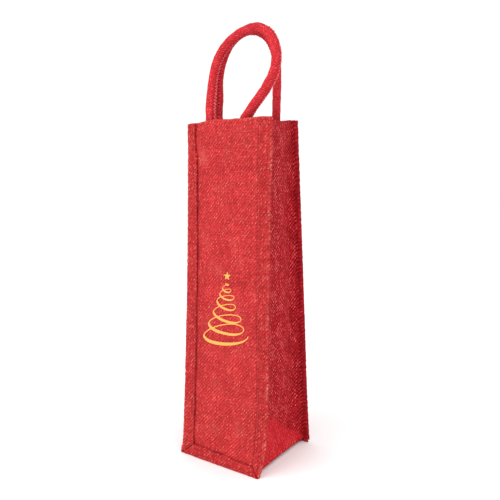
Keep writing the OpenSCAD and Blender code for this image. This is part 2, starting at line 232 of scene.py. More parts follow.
class Nodes:
    """Short ways to wire a material."""

    def __init__(self, name):
        self.material = bpy.data.materials.new(name)
        self.material.use_nodes = True
        self.tree = self.material.node_tree
        self.tree.nodes.clear()
        self.out = self.add("ShaderNodeOutputMaterial")
        self.shader = self.add("ShaderNodeBsdfPrincipled")
        self.tree.links.new(self.shader.outputs[0], self.out.inputs[0])

    def add(self, kind, **settings):
        node = self.tree.nodes.new(kind)
        for key, value in settings.items():
            setattr(node, key, value)
        return node

    def put(self, socket, value):
        if isinstance(value, bpy.types.NodeSocket):
            self.tree.links.new(value, socket)
        elif value is not None:
            socket.default_value = value

    def math(self, operation, a, b=None, c=None):
        node = self.add("ShaderNodeMath", operation=operation)
        for socket, value in zip(node.inputs, (a, b, c)):
            self.put(socket, value)
        return node.outputs[0]

    def step(self, value, low, high, to_low=0.0, to_high=1.0):
        node = self.add("ShaderNodeMapRange", interpolation_type="SMOOTHSTEP")
        for i, v in enumerate((value, low, high, to_low, to_high)):
            self.put(node.inputs[i], v)
        return node.outputs[0]

    def mix(self, share, a, b, blend="MIX"):
        node = self.add("ShaderNodeMix", data_type="RGBA", blend_type=blend)
        self.put(node.inputs[0], share)
        self.put(node.inputs[6], a)
        self.put(node.inputs[7], b)
        return node.outputs[2]

    def noise(self, vector, scale, detail=2.0, roughness=0.5):
        node = self.add("ShaderNodeTexNoise")
        self.put(node.inputs["Vector"], vector)
        for key, value in (("Scale", scale), ("Detail", detail), ("Roughness", roughness)):
            node.inputs[key].default_value = value
        return node.outputs[0]

    def random(self, x, y):
        both = self.add("ShaderNodeCombineXYZ")
        self.put(both.inputs[0], x)
        self.put(both.inputs[1], y)
        node = self.add("ShaderNodeTexWhiteNoise", noise_dimensions="2D")
        self.put(node.inputs["Vector"], both.outputs[0])
        return node.outputs[0]


def rgb(red, green, blue):
    """Linear colour from the usual 0 to 255 values."""
    linear = [v / 255 / 12.92 if v <= 10.3 else ((v / 255 + 0.055) / 1.055) ** 2.4 for v in (red, green, blue)]
    return (*linear, 1)


def woven(name, yarn, dark, body, light, glow, flecks, fleck_share, rib, spread, cross=0.0, bump=0.4, fuzz=0.1,
          short=0.55):
    """Twill whose yarns have the given pitches in mm across and up.

    rib is the contrast of its slanting ribs, cross the share of ribs that slant the other way, spread how far the
    yarns differ, flecks how many are pale, and short how far a fleck keeps to a single crossing.
    """
    n = Nodes(name)
    uv = n.add("ShaderNodeUVMap", uv_map="cloth").outputs[0]
    place = n.add("ShaderNodeTexCoord").outputs["Object"]
    parts = n.add("ShaderNodeSeparateXYZ")
    n.put(parts.inputs[0], uv)
    lean = n.math("MULTIPLY_ADD", n.noise(uv, 70.0, 1.0), 1.6, -0.8)
    x = n.math("MULTIPLY_ADD", parts.outputs[0], 1000 / yarn[0], lean)
    y = n.math("MULTIPLY_ADD", parts.outputs[1], 1000 / yarn[1], n.math("MULTIPLY", lean, 0.5))
    i, j = n.math("FLOOR", x), n.math("FLOOR", y)
    fx, fy = n.math("FRACT", x), n.math("FRACT", y)

    def crown(f):
        e = n.math("MULTIPLY_ADD", f, 2.0, -1.0)
        return n.math("MULTIPLY_ADD", n.math("MULTIPLY", e, e), -1.0, 1.0)

    diagonal = n.math("SUBTRACT", x, y)
    wave = n.math("COSINE", n.math("MULTIPLY", diagonal, 2 * math.pi / 3))
    if cross:
        other = n.math("COSINE", n.math("MULTIPLY", n.math("ADD", x, y), 2 * math.pi / 3))
        wave = n.math("MULTIPLY_ADD", other, cross, n.math("MULTIPLY", wave, 1 - cross))
    warp = n.math("MULTIPLY", crown(fx), n.math("MULTIPLY_ADD", wave, 0.42, 0.58))
    weft = n.math("MULTIPLY", crown(fy), n.math("MULTIPLY_ADD", wave, -0.42, 0.50))
    height = n.math("MAXIMUM", warp, weft)
    on_top = n.step(n.math("SUBTRACT", warp, weft), -0.05, 0.05)
    # each yarn floats over three others, and every float and every yarn has its own chance
    warp_float = n.math("FLOOR", n.math("DIVIDE", n.math("SUBTRACT", y, i), 3.0))
    weft_float = n.math("FLOOR", n.math("DIVIDE", n.math("SUBTRACT", x, j), 3.0))
    weft_luck = n.random(j, n.math("ADD", weft_float, 0.37))
    warp_luck = n.random(n.math("ADD", i, 0.21), warp_float)
    luck = n.math("MULTIPLY", n.mix(on_top, weft_luck, warp_luck), 1.0)
    strand = n.math("MULTIPLY", n.mix(on_top, n.random(j, 3.7), n.random(i, 9.1)), 1.0)
    patch = n.noise(place, 30.0, 3.0, 0.6)
    hair = n.noise(uv, 2200.0, 2.0, 0.7)

    ribs = n.math("MULTIPLY_ADD", wave, 0.5, 0.5)
    shade = n.mix(n.step(height, 0.10, 0.60), dark, body)
    shade = n.mix(n.math("MULTIPLY", n.step(ribs, 0.45, 1.0), rib), shade, light)
    shade = n.mix(n.math("MULTIPLY", n.step(ribs, 0.5, 0.0), rib), shade, dark)
    tint = n.math("MULTIPLY_ADD", luck, spread, 1 - spread / 2)
    tint = n.math("MULTIPLY", tint, n.math("MULTIPLY_ADD", strand, 0.22, 0.89))
    tint = n.math("MULTIPLY", tint, n.math("MULTIPLY_ADD", patch, 0.34, 0.83))
    tinted = n.add("ShaderNodeVectorMath", operation="SCALE")
    n.put(tinted.inputs[0], shade)
    n.put(tinted.inputs["Scale"], tint)
    dot = n.random(n.math("ADD", i, 0.43), n.math("ADD", j, 0.71))
    chance = n.math("MULTIPLY_ADD", luck, 1 - short, n.math("MULTIPLY", dot, short))
    fleck = n.math("MULTIPLY", n.step(chance, 0.9 - flecks, 0.9), n.step(height, 0.30, 0.75))
    fleck = n.math("MULTIPLY", fleck, n.step(ribs, 0.15, 0.85, 0.35, 1.25))
    # painted_light_and_tone is painted light with some random tone: below 0.5 it darkens the cloth as painted shade,
    # above 0.5 it lightens it as painted highlight, and pale flecks fade in the painted shade
    painted_light_and_tone = n.add("ShaderNodeAttribute", attribute_name="painted_light_and_tone", attribute_type="GEOMETRY").outputs["Fac"]
    fleck = n.math("MULTIPLY", fleck, n.step(painted_light_and_tone, 0.25, 0.5, 0.25, 1.0))
    shade = n.mix(n.math("MULTIPLY", fleck, fleck_share), tinted.outputs[0], glow)
    shade = n.mix(n.math("MULTIPLY", n.step(hair, 0.62, 0.8), fuzz), shade, glow)
    # wear_and_painted_light here is a painted highlight: it lightens the gusset under its creases towards the light
    # colour
    wear_and_painted_light = n.add("ShaderNodeAttribute", attribute_name="wear_and_painted_light", attribute_type="GEOMETRY").outputs["Fac"]
    shade = n.mix(n.math("MULTIPLY", wear_and_painted_light, 0.5), shade, light)
    # painted shade below 0.5, painted highlight above it
    shade = n.mix(n.step(painted_light_and_tone, 0.5, 0.0), shade, (0.46, 0.34, 0.40, 1), "MULTIPLY")
    shade = n.mix(n.math("MULTIPLY", n.step(painted_light_and_tone, 0.5, 1.0), 0.5), shade, glow)
    n.put(n.shader.inputs["Base Color"], shade)
    n.put(n.shader.inputs["Roughness"], n.math("MULTIPLY_ADD", luck, -0.12, 0.9))
    n.shader.inputs["Specular IOR Level"].default_value = 0.12
    relief = n.math("ADD", n.math("MULTIPLY_ADD", wave, 0.35, height), n.math("MULTIPLY", hair, 0.25))
    node = n.add("ShaderNodeBump")
    node.inputs["Strength"].default_value = 1.0
    node.inputs["Distance"].default_value = bump * MM
    n.put(node.inputs["Height"], relief)
    n.put(n.shader.inputs["Normal"], node.outputs[0])
    return n.material


def thread_like(name, body, dark):
    """Spun thread with fine slanting plies."""
    n = Nodes(name)
    uv = n.add("ShaderNodeUVMap", uv_map="cloth").outputs[0]
    parts = n.add("ShaderNodeSeparateXYZ")
    n.put(parts.inputs[0], uv)
    slanting = n.math("ADD", parts.outputs[0], parts.outputs[1])
    ply = n.math("SINE", n.math("MULTIPLY", slanting, 2 * math.pi * 1000 / 0.5))
    wear_and_painted_light = n.noise(n.add("ShaderNodeTexCoord").outputs["Object"], 400.0, 3.0)
    shade = n.mix(n.step(ply, -0.8, 0.4), dark, body)
    n.put(n.shader.inputs["Base Color"], n.mix(n.math("MULTIPLY", wear_and_painted_light, 0.4), shade, dark))
    n.put(n.shader.inputs["Roughness"], n.math("MULTIPLY_ADD", wear_and_painted_light, 0.2, 0.6))
    node = n.add("ShaderNodeBump")
    node.inputs["Distance"].default_value = 0.1 * MM
    n.put(node.inputs["Height"], ply)
    n.put(n.shader.inputs["Normal"], node.outputs[0])
    return n.material


def printed(name):
    """Matt gold ink lying on the ribs of the cloth."""
    n = Nodes(name)
    uv = n.add("ShaderNodeUVMap", uv_map="cloth").outputs[0]
    parts = n.add("ShaderNodeSeparateXYZ")
    n.put(parts.inputs[0], uv)
    slanting = n.math("SUBTRACT", parts.outputs[0], parts.outputs[1])
    rib = n.math("SINE", n.math("MULTIPLY", slanting, 2 * math.pi * 1000 / 2.85))
    grain = n.noise(uv, 1500.0, 3.0, 0.6)
    ink = n.mix(n.step(grain, 0.3, 0.7), rgb(226, 150, 62), rgb(238, 172, 76))
    ink = n.mix(n.math("MULTIPLY", n.step(rib, 0.2, 1.0), 0.5), ink, rgb(252, 204, 118))
    n.put(n.shader.inputs["Base Color"], ink)
    n.put(n.shader.inputs["Roughness"], n.math("MULTIPLY_ADD", grain, 0.2, 0.45))
    n.shader.inputs["Metallic"].default_value = 0.15
    node = n.add("ShaderNodeBump")
    node.inputs["Distance"].default_value = 0.15 * MM
    n.put(node.inputs["Height"], n.math("ADD", n.math("MULTIPLY", rib, 0.5), grain))
    n.put(n.shader.inputs["Normal"], node.outputs[0])
    return n.material


JUTE = dict(yarn=(1.17, 1.36), dark=rgb(150, 24, 30), body=rgb(193, 47, 50), light=rgb(216, 80, 75),
            glow=rgb(244, 150, 132))
panel_jute = woven("panel_jute", **JUTE, flecks=0.26, fleck_share=0.4, rib=0.28, spread=0.5)
edge_jute = woven("binding_jute", **{**JUTE, "body": rgb(180, 38, 42), "light": rgb(206, 72, 68)},
                  flecks=0.3, fleck_share=0.42, rib=0.28, spread=0.5)
# painted shade: the gusset's reds are darker than the panels' to show its sides in shade; its coarser weave is its
# own
gusset_jute = woven("gusset_jute", yarn=(1.65, 1.4), dark=rgb(112, 0, 14), body=rgb(168, 12, 26),
                    light=rgb(214, 36, 46), glow=rgb(240, 122, 116), flecks=0.4, fleck_share=0.62, rib=0.9,
                    spread=0.5, cross=0.3, short=0.15)
# painted shade: the back bindings' reds are darker to show them in shade
back_edge_jute_painted_shade = woven("back_binding_jute", yarn=(1.17, 1.36), dark=rgb(132, 10, 24), body=rgb(172, 24, 36),
                       light=rgb(190, 46, 52), glow=rgb(232, 118, 112), flecks=0.14, fleck_share=0.3, rib=0.3,
                       spread=0.36, fuzz=0.05)
cotton = woven("handle_cotton", yarn=(0.95, 1.0), dark=rgb(156, 12, 28), body=rgb(201, 39, 48),
               light=rgb(217, 77, 80), glow=rgb(246, 150, 152), flecks=0.3, fleck_share=0.38, rib=0.26,
               spread=0.4, bump=0.17)
thread = thread_like("thread", rgb(228, 96, 86), rgb(176, 34, 38))
seam_thread = thread_like("seam_thread", rgb(214, 58, 64), rgb(150, 14, 26))
gold = printed("gold_print")

# ---- Handles ----

FRONT_ROUTE = [[-20.5, -26.2, 0], [-22.5, -24, 9], [-24, -20, 22], [-24.5, -15, 41], [-22.5, -10.5, 57],
               [-15.5, -7, 70], [-5, -4, 79], [7, -2.3, 84], [19, -1.6, 85.5], [29, -2.2, 82],
               [37, -3.8, 75], [43.5, -6.3, 65], [47.2, -9.2, 54.5], [48, -11.5, 46], [47, -13.8, 38],
               [44, -16, 30.5], [38.5, -19, 20.5], [31, -22.5, 10], [24.2, -25, 0]]
BACK_ROUTE = [[-44.6, 19.2, 0], [-43.6, 17.4, 11], [-40.8, 15.4, 24], [-38.8, 13, 40], [-35, 11.3, 53],
              [-29.5, 10.1, 64], [-21.5, 9.4, 74.8], [-11.5, 9.3, 82.4], [-0.5, 9.9, 86], [10.5, 11.3, 85.5],
              [19, 13, 81.6], [25, 14.8, 75], [29, 16.9, 65], [30, 19, 53.5], [28.5, 22, 36.5],
              [25.5, 25.6, 19], [22, 30, 0]]
CORD_R, TAB_R, TAB_W, TAB_T, HEM_IN = 4.5, 4.4, 5.2, 2.3, 4.3
TABS = {FRONT: (22, 63.8), BACK: (84.6, 20)}


def tab_share(z):
    return np.minimum(1, (np.clip(z - HEIGHT + HEM, 0, HEM) / HEM) ** 2)


def tab_middle(k, a, z):
    return on_face(k, a, HEM_IN + 0.3 + TAB_T + (TAB_R - TAB_T) * tab_share(z), z, swell=2.0)


def unit(v):
    return v / np.maximum(np.linalg.norm(v, axis=-1, keepdims=True), 1e-9)


def handle(side, k, route, seam_turns, groove_width, ridge):
    """One handle: a rope in a sewn cotton cover, flat where its ends are sewn inside the mouth."""
    ends = [[tab_middle(k, a, z) for z in (327.0, 332, 337, 342, 346.5, 350.5)] for a in TABS[k]]
    loop = np.array(route) + [0, 0, PIVOT_Z]
    line = curve_through(np.vstack([ends[0], loop, ends[1][::-1]]), 8)
    line, at = evenly(line, 1.0)
    total = at[-1]
    heading = unit(np.gradient(line, axis=0))
    inward = unit(np.cross([0, 1, 0], heading))
    sideways = np.cross(heading, inward)
    z = line[:, 2]
    sewn = z < HEIGHT + 0.8
    share = np.where(sewn, tab_share(z), 1.0)
    wide = (TAB_W + (CORD_R - TAB_W) * share)[:, None]
    thick = (TAB_T + (CORD_R - TAB_T) * share)[:, None]
    count = 48
    angle = (np.arange(count) / count * 2 * math.pi)[None, :]
    seam_at = np.radians(np.interp(at / total, *seam_turns))[:, None]
    zigzag = 1.1 * groove_width * np.sin(at * 2 * math.pi / 3.6)[:, None]
    away = (angle - seam_at - zigzag + math.pi) % (2 * math.pi) - math.pi
    bend = np.linalg.norm(np.gradient(heading, axis=0), axis=1)[:, None]
    inner_side = np.cos(angle)
    pleats = np.clip(bend * 14, 0, 1) * np.clip(inner_side, 0, 1) * np.sin(at * 2 * math.pi / 3.1)[:, None] * 0.10
    groove = hump(away, 0, groove_width)
    # the seam lies open near the first end and closes along the loop
    groove = groove * np.interp(at / total, [0, 0.42, 0.55, 1], [1, 1, 0.2, 0.2])[:, None]
    lip = hump(away, -groove_width * 2.1, 0.26) * (1 + 0.12 * np.sin(at * 2 * math.pi / 3.6)[:, None])
    detail = (-0.8 * groove + ridge * lip + 0.15 * hump(away, groove_width * 2.1, 0.2)) * share[:, None]
    around = CORD_R * angle
    detail = detail + pleats + 0.07 * ripple(around, at[:, None], 9, 5) + 0.04 * ripple(around, at[:, None], 3, 6)
    x = (wide - 0.15 + detail) * np.cos(angle)
    y = (thick - 0.15 + detail) * np.sin(angle)
    rings = line[:, None] + x[..., None] * inward[:, None] + y[..., None] * sideways[:, None]
    closing = np.sin(np.clip(np.minimum(at, total - at) / 1.6, 0.12, 1) * math.pi / 2)[:, None, None]
    rings = line[:, None] + (rings - line[:, None]) * closing
    girth = CORD_R * np.arange(count + 1) / count * 2 * math.pi
    uv = np.stack(np.broadcast_arrays(girth[None, :], at[:, None]), -1)
    # painted shade in the seam's groove and just past its lip, and a painted highlight along the lip
    crest = hump(away, -groove_width * 2.1, 0.15) - 0.5 * hump(away, -groove_width * 2.1 - 0.42, 0.2)
    painted_light_and_tone = np.clip(0.5 - 0.55 * groove + 0.6 * crest, 0, 1)
    name = f"{side}_handle"
    rope = tube(f"{name}_cord", rings, uv, cotton, None, [f"{name}_cover", f"{name}_core", f"{name}_tabs"],
                painted_light_and_tone)
    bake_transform(rope)

    lacing = []
    for n, s in enumerate(np.arange(30, total - 30, 2.8)):
        row = int(np.searchsorted(at, s))
        spin = float(seam_at[row, 0])
        way = math.cos(spin) * inward[row] + math.sin(spin) * sideways[row]
        across = -math.sin(spin) * inward[row] + math.cos(spin) * sideways[row]
        lean = unit(across + heading[row] * (0.55 if n % 2 else -0.55))
        lacing.append((line[row] + way * (CORD_R - 0.42), lean, way))
    laces = stitches(f"{name}_lacing", lacing, 2.0, 0.55, 0.42, seam_thread, None, [f"{name}_seam"])
    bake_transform(laces)
    tacks = []
    for a in TABS[k]:
        for drop in (7, 18):
            for off in (-3, -1, 1, 3):
                depth = HEM_IN + 0.3 + 2 * (TAB_T + (TAB_R - TAB_T) * float(tab_share(np.array(HEIGHT - drop))))
                squeeze = 1.6 * (1 - math.sqrt(max(0, 1 - (off / 5.2) ** 2)))
                spot, here, there = (on_face(k, a + off, depth - squeeze, HEIGHT - drop),
                                     on_face(k, a + off, depth, HEIGHT - drop),
                                     on_face(k, a + off + 1, depth, HEIGHT - drop))
                way = unit(there - here)
                tacks.append((spot, way, unit(np.cross([0, 0, 1], way))))
    stitches(f"{name}_tacking", tacks, 1.9, 0.6, 0.5, thread, "bag", [f"{name}_tacks"])
    return rope


def stitches(name, spots, length, width, height, material, body, stands_for=()):
    """Single stitches, each a short arched thread: spots are middles, directions and outward normals."""
    along = np.linspace(-1, 1, 7)
    sides = 6
    points, faces, corners_uv = [], [], []
    for n, (middle, way, out) in enumerate(spots):
        way, out = unit(np.asarray(way, float)), unit(np.asarray(out, float))
        side = np.cross(way, out)
        first = len(points)
        for s in along:
            rise = height * (1 - s**4) - height * 0.75
            girth = 0.5 * width * math.sqrt(max(0.06, 1 - s**6 * 0.94))
            for c in range(sides):
                turn = 2 * math.pi * c / sides
                points.append(middle + way * s * length / 2 + out * (rise + girth * 0.8 * math.sin(turn))
                              + side * girth * math.cos(turn))
        for r in range(len(along) - 1):
            for c in range(sides):
                d = (c + 1) % sides
                faces.append((first + r * sides + c, first + r * sides + d,
                              first + (r + 1) * sides + d, first + (r + 1) * sides + c))
                corners_uv.append(np.array([[c * 0.3, r * 0.4 + n], [(c + 1) * 0.3, r * 0.4 + n],
                                            [(c + 1) * 0.3, (r + 1) * 0.4 + n], [c * 0.3, (r + 1) * 0.4 + n]]))
        for r in (0, len(along) - 1):
            faces.append(tuple(first + r * sides + c for c in range(sides)))
            corners_uv.append(np.array([[c * 0.3, r * 0.4 + n] for c in range(sides)]))
    return make(name, points, faces, corners_uv, material, body, stands_for, sharp=80)


handle("front", FRONT, FRONT_ROUTE, ([0, 0.3, 0.4, 0.5, 0.6, 1], [35, 35, 40, 120, 180, 182]), 0.17, 1.6)
handle("back", BACK, BACK_ROUTE, ([0, 0.15, 0.35, 0.6, 1], [-80, -80, -60, 40, 60]), 0.3, 0.5)

# ---- Bindings ----


def left_width(z):
    width = np.interp(z, [0, 60, 230, 316, 330, 350], [13.8, 13.6, 12.8, 11.6, 9.8, 9.4])
    return width + 0.15 * ripple(z, 0 * z, 40, 21)


def right_width(z):
    return np.interp(z, [0, 120, 350], [10.8, 11.6, 13.6]) + 0.15 * ripple(z, 0 * z, 45, 22)


def plain_width(z):
    return 11.6 + 0.3 * ripple(z, 0 * z, 60, 23)


def base_width(a):
    return np.interp(a, [0, 14, 90, 100], [13.9, 13.7, 9.9, 9.6]) + 0.12 * ripple(a, 0 * a, 30, 24)


def back_base_width(a):
    return 11.4 + 0.25 * ripple(a, 0 * a, 40, 25)


# Section of a folded strip from its inner edge round to the end of its leg, and the same for its underside: share
# of the width, distance from the edge, depth
OUTER = np.array([[1, 0, 1.45], [1, -0.12, 0.9], [1, -0.55, 0.42], [1, -1.4, 0.12], [1, -3, -0.06], [0.6, 0, -0.2],
                  [0.4, 0, -0.2], [0, 2.6, -0.12], [0, 1.0, 0.12], [0, -0.1, 0.7], [0, -0.75, 1.5], [0, -0.85, 2.5],
                  [0, -0.3, 3.4], [0, 0.9, 4.05], [0, 2.6, 4.32], [0, 4.2, 4.3], [0, 4.6, 4.0]])
UNDER = np.array([[1, -0.15, 1.58], [1, -0.5, 1.5], [1, -0.9, 1.38], [1, -1.6, 1.2], [1, -3, 1.05], [0.6, 0, 0.95],
                  [0.4, 0, 0.95], [0, 3.0, 1.02], [0, 2.0, 1.15], [0, 1.2, 1.45], [0, 0.6, 1.85], [0, 0.6, 2.4],
                  [0, 1.0, 2.85], [0, 1.9, 3.15], [0, 3.0, 3.25], [0, 4.2, 3.3], [0, 4.5, 3.5]])
SIDE_STEPS = np.concatenate([np.linspace(0, 24, 20), np.linspace(25.2, 320, 230), np.linspace(321.4, 349.6, 22)])


def strip_section(rows, width, flat, fold=0.0):
    """Distances from the edge and depths of the strip at each station, for its outer and its under side."""
    made = []
    for shape in (OUTER, UNDER):
        fine = curve_through(shape, 3)
        distance = fine[:, 0] * width[:, None] + fine[:, 1]
        depth = np.broadcast_to(fine[:, 2], distance.shape).copy()
        depth += flat * np.clip((distance - width[:, None] + 3) / 3, 0, 1) * np.clip(1.6 - depth, 0, 1) * 0.55
        made.append((distance, depth))
    wave = 0.12 * ripple(made[0][0], rows[:, None], 22, 31) + 0.06 * ripple(made[0][0], rows[:, None], 5, 32)
    # the fold is rough with yarns and stands out past the corner line
    rough = fold + 0.13 * ripple(rows, 0 * rows, 4.5, 35)[:, None]
    return [(d - rough * smooth(1 - d / 4), h - wave) for d, h in made]


def binding_side(name, k, far, width_of, mitre, flat, fold, node):
    rows = SIDE_STEPS
    width = width_of(rows)
    sides = []
    for distance, depth in strip_section(rows, width, flat, fold):
        low = distance * mitre + 0.12
        z = rows[:, None] + np.clip(low, 0.12, None) * np.clip(1 - rows[:, None] / 24, 0, 1)
        sink = 0.5 * np.exp(-rows[:, None] / 1.5) * (depth < 1.2)
        if k == BACK:
            z = z + 3.2 * np.clip(1 - distance / 5, 0, 1) ** 2 * np.exp(-rows[:, None] / 5)
        sides.append((on_face(k, distance, depth + sink, z, far), distance, z, depth))
    outer, distance, z, depth = sides[0]
    # painted highlight along the fold edge, broken up by speckle, strong on the front bindings
    speckle = 0.6 + 0.4 * ripple(z, 0 * z, 4, 34)
    bright = 0.2 if k == FRONT else 0.04
    painted_light_and_tone = 0.5 + bright * hump(distance, 0.1, 0.9) * (depth < 1.6) * speckle
    # painted shade along the strip's inner edge where it meets the panel
    painted_light_and_tone = painted_light_and_tone - 0.2 * hump(distance, width[:, None] + 0.1, 0.5)
    # random tone, and painted shade at the tucked foot of the strip
    painted_light_and_tone = painted_light_and_tone + 0.05 * ripple(distance, z, 12, 33) - 0.42 * np.exp(-rows[:, None] / 0.9) * (depth < 1.2)
    # the turned leg of each back binding gets painted shade
    painted_light_and_tone = painted_light_and_tone - (0.1 * smooth((depth - 1.2) / 1.5) if k == BACK else 0)
    reach = np.where(depth < 2.2, distance, -depth)
    uv = np.stack([-reach if far else reach, z], -1)
    jute = edge_jute if k == FRONT else back_edge_jute_painted_shade
    piece = cloth(name, outer, sides[1][0], uv, jute, "bag", [node], np.clip(painted_light_and_tone, 0, 1))
    return piece


def binding_base(name, k, width_of, mitres, node):
    """Strip along the foot of a panel, puffed between its tucked ends."""
    part = np.concatenate([np.linspace(0, 0.07, 9), np.linspace(0.085, 0.915, 60), np.linspace(0.93, 1, 9)])
    width = width_of(part * 100)
    sides = []
    for distance, depth in strip_section(part * 100, width, 0.0):
        z = np.clip(distance, 0.02, None)
        length = face_len(k, z)
        first = np.clip(distance, 0, None) / mitres[0] + 0.12
        last = length - np.clip(distance, 0, None) / mitres[1] - 0.12
        a = first + (last - first) * part[:, None]
        end = np.minimum(part, 1 - part)[:, None] * 100
        puff = 0.9 * np.sin(math.pi * np.clip(distance / width[:, None], 0, 1)) * smooth(end / 9) * (depth < 1.2)
        sink = 0.5 * np.exp(-end / 1.5) * (depth < 1.2)
        sides.append((on_face(k, a, depth - puff + sink, z), distance, a, depth))
    outer, distance, a, depth = sides[0]
    # painted highlight along the fold edge, painted shade along the inner edge, and painted shade at both tucked
    # ends
    painted_light_and_tone = 0.5 + 0.2 * hump(distance, 0.2, 1.2) * (depth < 1.6) - 0.22 * hump(distance, width[:, None] + 0.1, 0.5)
    painted_light_and_tone = painted_light_and_tone - 0.5 * np.exp(-np.minimum(part, 1 - part)[:, None] * 100 / 0.8) * (depth < 1.2)
    uv = np.stack([a, np.where(depth < 2.2, distance, -depth)], -1)
    jute = edge_jute if k == FRONT else back_edge_jute_painted_shade
    piece = cloth(name, outer, sides[1][0], uv, jute, "bag", [node], np.clip(painted_light_and_tone, 0, 1))
    return piece


# ---- Panels ----


def panel_depth(k, a, z):
    """Depth of a panel's outer face under the line between its corners."""
    length = face_len(k, z)
    if k == FRONT:
        first, last, low = left_width(z), length - right_width(z), base_width(a)
        raised = 0.62
    else:
        first, last, low = plain_width(z), length - plain_width(z), back_base_width(a)
        raised = 0.2
    depth = 1.35 + 0.5 * np.exp(-np.clip(a - first, 0, None) / 1.4)
    depth = depth - raised * smooth(1 - (last - a) / 7) + 0.45 * hump(a, last, 0.8)
    if k == BACK:
        depth = depth + 0.7 * np.exp(-np.clip(last - a, 0, None) / 1.2)
    depth = depth + 0.7 * np.exp(-np.clip(z - low, 0, None) / 1.2)
    depth = depth - 0.3 * smooth((z - 324) / 4) + 0.32 * hump(z, HEM_SEAM_Z, 0.9)
    inside = smooth((a - first) / 8) * smooth((last - a) / 8)
    return depth - inside * (0.30 * ripple(a, z, 70, 41 + k) + 0.16 * ripple(a, z, 22, 43 + k)) \
        - 0.04 * ripple(a, z, 6, 45 + k)


def panel(side, k):
    """A panel with its hem: up the outside, over the rim, and down inside the mouth."""
    up = np.concatenate([np.linspace(1.4, 20, 22), np.linspace(21.8, 318, 150), np.linspace(319.5, RIM_Z, 24)])
    over = np.radians([15, 40, 65, 90, 115, 140, 165])
    down = np.linspace(RIM_Z, HEM_EDGE_Z, 10)
    across = np.concatenate([np.linspace(1.6, 18, 30), np.linspace(19.5, 81, 42), np.linspace(82.5, 98.4, 28)]) / 100
    half = HALF_CLOTH
    z_mid = np.concatenate([up, RIM_Z + RIM_R * np.sin(over), down])
    back_in = np.concatenate([0 * up, RIM_R * (1 - np.cos(over)), 0 * down + 2 * RIM_R])
    narrow = np.concatenate([0 * up, 0 * over, np.linspace(0, 1, 10) ** 0.3])
    z = z_mid[:, None] + 0 * across[None, :]
    length = face_len(k, z)
    a = length * (0.5 + (across[None, :] - 0.5) * (1 - 0.1 * narrow[:, None]))
    rim = 0.25 * ripple(a, 0 * a, 34, 51 + k) + 0.1 * ripple(a, 0 * a, 9, 52 + k)
    z = z + rim * smooth((z - 300) / 50)
    depth = panel_depth(k, a, np.minimum(z, 349.9)) + half
    fold = smooth((np.arange(len(z_mid)) - len(up) + 8) / 8)[:, None]
    depth = depth * (1 - fold) + (1.35 + half - 0.2) * fold + back_in[:, None]
    middle = on_face(k, a, depth, z)
    out = normals_of(middle)
    outer, inner = middle + out * half, middle - out * half
    along = np.concatenate([up, RIM_Z + RIM_R * over, 351.6 + (RIM_Z - down)])
    uv = np.stack([a, along[:, None] + 0 * a], -1)
    first, last, low = ((left_width(z), length - right_width(z), base_width(a)) if k == FRONT else
                        (plain_width(z), length - plain_width(z), back_base_width(a)))
    # painted shade beside the bindings, above the base strip and along the hem's seam, random tone, and a painted
    # highlight where the cloth turns over the rim
    painted_light_and_tone = 0.5 - 0.28 * hump(a, first + 0.7, 1.6) - 0.16 * hump(a, last - 0.4, 0.9)
    painted_light_and_tone = painted_light_and_tone - 0.16 * hump(z, low + 0.5, 0.9)
    painted_light_and_tone = painted_light_and_tone - 0.1 * hump(z, HEM_SEAM_Z, 0.8) + 0.05 * ripple(a, z, 30, 53 + k)
    painted_light_and_tone = painted_light_and_tone + 0.14 * hump(z_mid[:, None], 350.0, 1.2)
    if np.sum(out[60, 50] * np.array([0, -1 if k == FRONT else 1, 0])) < 0:
        outer, inner = inner, outer
    piece = cloth(f"{side}_panel_cloth", outer, inner, uv, panel_jute, "bag",
                  [f"{side}_panel", f"{side}_panel_hem"], np.clip(painted_light_and_tone, 0, 1))
    return piece


# ---- Gusset ----

SAG_SHARE = [0, 0.06, 0.14, 0.24, 0.36, 0.48, 0.58, 0.68, 0.78, 0.86, 0.93, 1]
SAG = {RIGHT: [0, 1.2, 2.4, 2.8, 2.0, 0.8, 0.8, 2.0, 3.6, 3.4, 1.4, -0.6],
       LEFT: [0, 1.2, 2.6, 3.6, 3.2, 2.0, 1.4, 1.8, 3.0, 3.0, 1.6, 0]}


def side_inset(k, t, z):
    """How far the gusset's outer face lies inside the corners' line; t runs from its front edge to its back."""
    fine = np.linspace(0, 1, 201)
    sag = np.interp(fine, SAG_SHARE, SAG[k])
    kernel = np.exp(-(np.linspace(-2, 2, 17) ** 2))
    sag = np.convolve(np.pad(sag, 8, mode="edge"), kernel / kernel.sum(), "valid")
    bend = sag[np.clip((t * 200).round().astype(int), 0, 200)]
    kink = 66 * (1 - t) + 8 * t if k == RIGHT else 52 * (1 - t) + 14 * t
    above = z - kink
    open_up = smooth(above / 30) * (1 - 0.6 * smooth((z - 250) / 100))
    # the foot leans in up to a slanting crease, and the side comes back out over it
    crest = 7.5 * np.sin(math.pi * np.clip(t, 0, 1)) ** 0.8
    lean = crest * np.where(above < 0, np.clip(z / kink, 0, 1), np.exp(-np.clip(above, 0, None) / 45))
    edge = smooth(np.minimum(t, 1 - t) / 0.06)
    wave = 0.35 * ripple(t * 75, z, 55, 61 + k) + 0.15 * ripple(t * 75, z, 18, 62 + k)
    return GUSSET_IN + bend * open_up + lean + wave * edge * smooth(z / 60)


def foot_arch(t):
    """How far the foot of a side lifts off the floor between its corners."""
    return 2.2 * np.sin(math.pi * np.clip(t, 0, 1)) ** 0.6


